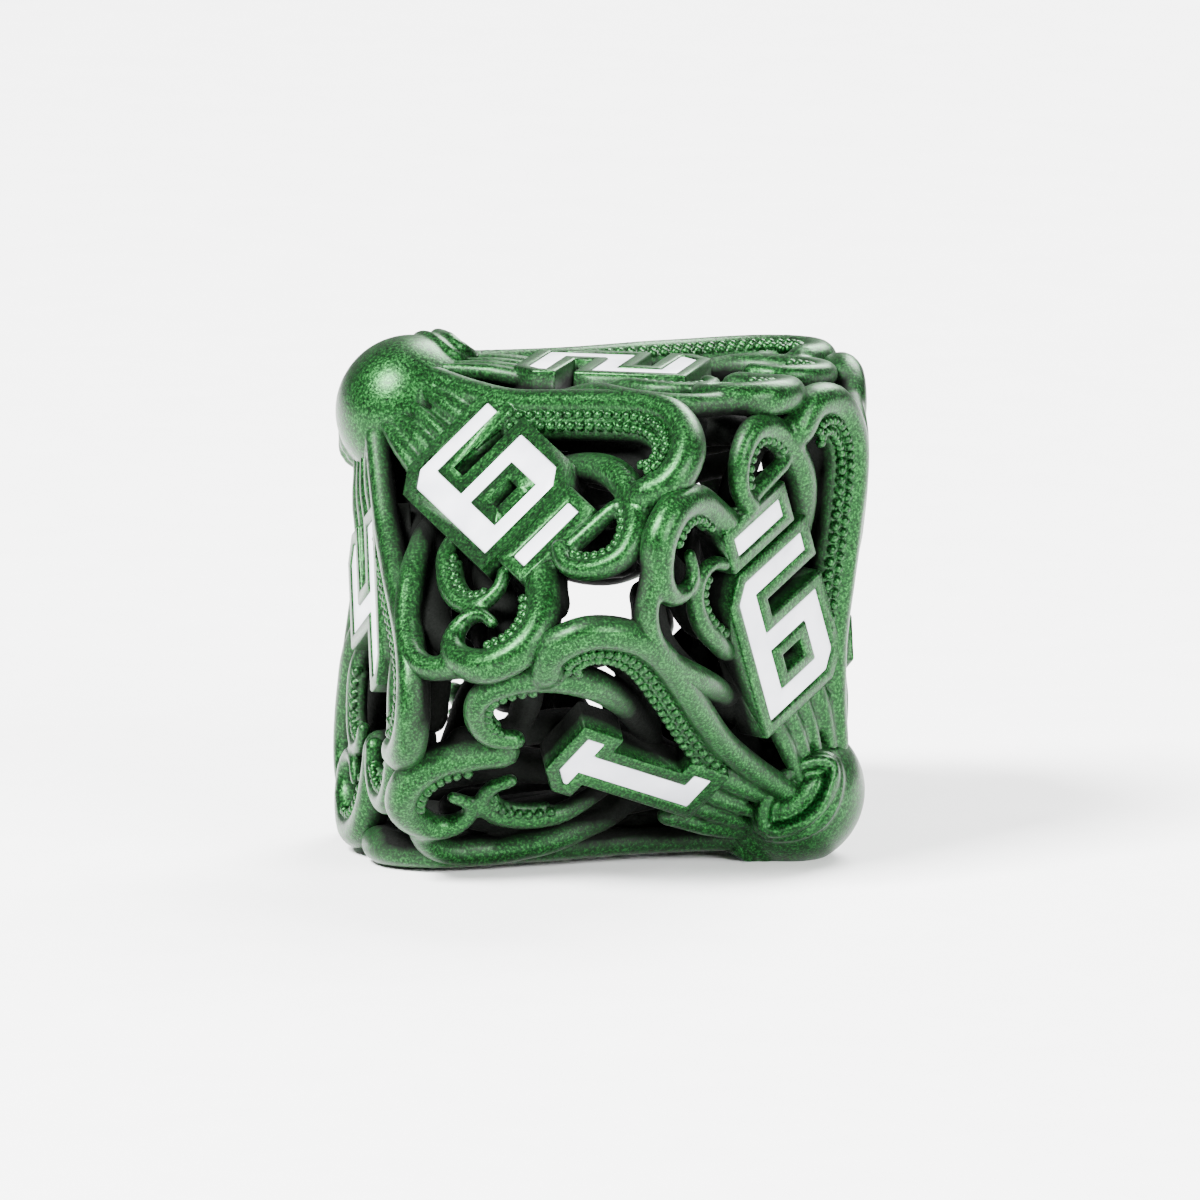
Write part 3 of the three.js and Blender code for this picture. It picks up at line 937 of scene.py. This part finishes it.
class DIE_OT_enamel(bpy.types.Operator):
    """Fills the number pockets with white enamel"""

    bl_idname = "die.enamel"
    bl_label = "White Enamel"

    def execute(self, context):
        n = context.scene.die_numbers
        low, high = -n.pocket / MM, -n.sink / MM
        for k, number in enumerate(NUMBERS):
            names = (f"enamel_{number}", f"enamel_bar_{number}")
            for name, fill in zip(names, pocket_fills(number, low, high)):
                bevelled(fill, ENAMEL_BEVEL)
                placed(fill, face_place(k))
                fill.name = name + "_fill"
                on_frame(fill, [name], enamel())
        return {"FINISHED"}


# Each light's name, its place from the die's middle, the width of its square and its watts.
LIGHTS = (
    ("key", (-0.25, -0.32, 0.45), 0.2, 21.0),
    ("fill", (0.45, -0.35, 0.25), 0.3, 8.0),
    ("rim", (0.1, 0.4, 0.4), 0.3, 10.0),
)
CAMERA_AZIMUTH = math.radians(13.4)
CAMERA_RISE = math.radians(9.7)
CAMERA_DISTANCE = 0.66
CAMERA_LENS = 577
FRAME_WIDTH = 36
FLOOR_REACH = 2.5  # from its middle to its edge
WORLD_STRENGTH = 0.45


class DIE_OT_stage(bpy.types.Operator):
    """Sets the pale floor, the soft lights and the camera"""

    bl_idname = "die.stage"
    bl_label = "Stage"

    def execute(self, context):
        bm = bmesh.new()
        bmesh.ops.create_grid(bm, x_segments=1, y_segments=1, size=FLOOR_REACH)
        floor = object_of(bm, "floor")
        material, tree = new_material("pale_matt_paper")
        place = node(tree, "ShaderNodeTexCoord").outputs["Object"]
        fibres = node(tree, "ShaderNodeTexNoise", {"Scale": 300.0, "Detail": 2.0}, Vector=place)
        paper = ramp(tree, fibres.outputs["Fac"], [(0.3, grey(0.93)), (0.7, grey(0.96))])
        shader = node(tree, "ShaderNodeBsdfPrincipled", {"Roughness": 0.9},
                      Base_Color=paper.outputs["Color"])
        node(tree, "ShaderNodeOutputMaterial", Surface=shader.outputs[0])
        floor.data.materials.append(material)
        set_world(context.scene)
        centre = Vector((0, 0, REST_TO_REST * MM / 2))
        for name, place, size, power in LIGHTS:
            add_light(name, centre + Vector(place), centre, size, power)
        add_camera(context.scene, centre)
        return {"FINISHED"}


def add_light(name, place, target, size, power):
    lamp = bpy.data.lights.new(name, "AREA")
    lamp.size = size
    lamp.energy = power
    light = bpy.data.objects.new(name, lamp)
    light.location = place
    light.rotation_euler = (target - place).to_track_quat("-Z", "Y").to_euler()
    bpy.context.scene.collection.objects.link(light)


def set_world(scene):
    world = bpy.data.worlds.new("studio")
    world.use_nodes = True
    background = world.node_tree.nodes["Background"]
    background.inputs["Color"].default_value = (1, 1, 1, 1)
    background.inputs["Strength"].default_value = WORLD_STRENGTH
    scene.world = world


def add_camera(scene, centre):
    data = bpy.data.cameras.new("camera")
    data.lens = CAMERA_LENS
    data.sensor_width = FRAME_WIDTH
    data.clip_start = 0.05
    camera = bpy.data.objects.new("camera", data)
    level = Vector((math.sin(CAMERA_AZIMUTH), -math.cos(CAMERA_AZIMUTH), 0))
    towards = level * math.cos(CAMERA_RISE) + Vector((0, 0, math.sin(CAMERA_RISE)))
    camera.location = centre + towards * CAMERA_DISTANCE
    camera.rotation_euler = (-towards).to_track_quat("-Z", "Y").to_euler()
    scene.collection.objects.link(camera)
    scene.camera = camera


class DIE_PT_panel(bpy.types.Panel):
    """The die's sizes and its building steps"""

    bl_label = "Octopus Die"
    bl_idname = "DIE_PT_panel"
    bl_space_type = "VIEW_3D"
    bl_region_type = "UI"
    bl_category = "Die"

    def draw(self, context):
        for group in (context.scene.die_metal, context.scene.die_numbers):
            box = self.layout.box()
            for name in group.bl_rna.properties.keys():
                if name not in ("rna_type", "name"):
                    box.prop(group, name)
        for operator in OPERATORS:
            self.layout.operator(operator.bl_idname)


OPERATORS = (DIE_OT_stage, DIE_OT_heads, DIE_OT_panels, DIE_OT_enamel)
CLASSES = (DieMetal, DieNumbers, *OPERATORS, DIE_PT_panel)


def register():
    for cls in CLASSES:
        bpy.utils.register_class(cls)
    bpy.types.Scene.die_metal = PointerProperty(type=DieMetal)
    bpy.types.Scene.die_numbers = PointerProperty(type=DieNumbers)


def unregister():
    del bpy.types.Scene.die_numbers
    del bpy.types.Scene.die_metal
    for cls in reversed(CLASSES):
        bpy.utils.unregister_class(cls)


def main():
    register()
    bpy.ops.die.stage()
    bpy.ops.die.heads()
    bpy.ops.die.panels()
    bpy.ops.die.enamel()


if __name__ == "__main__":
    main()
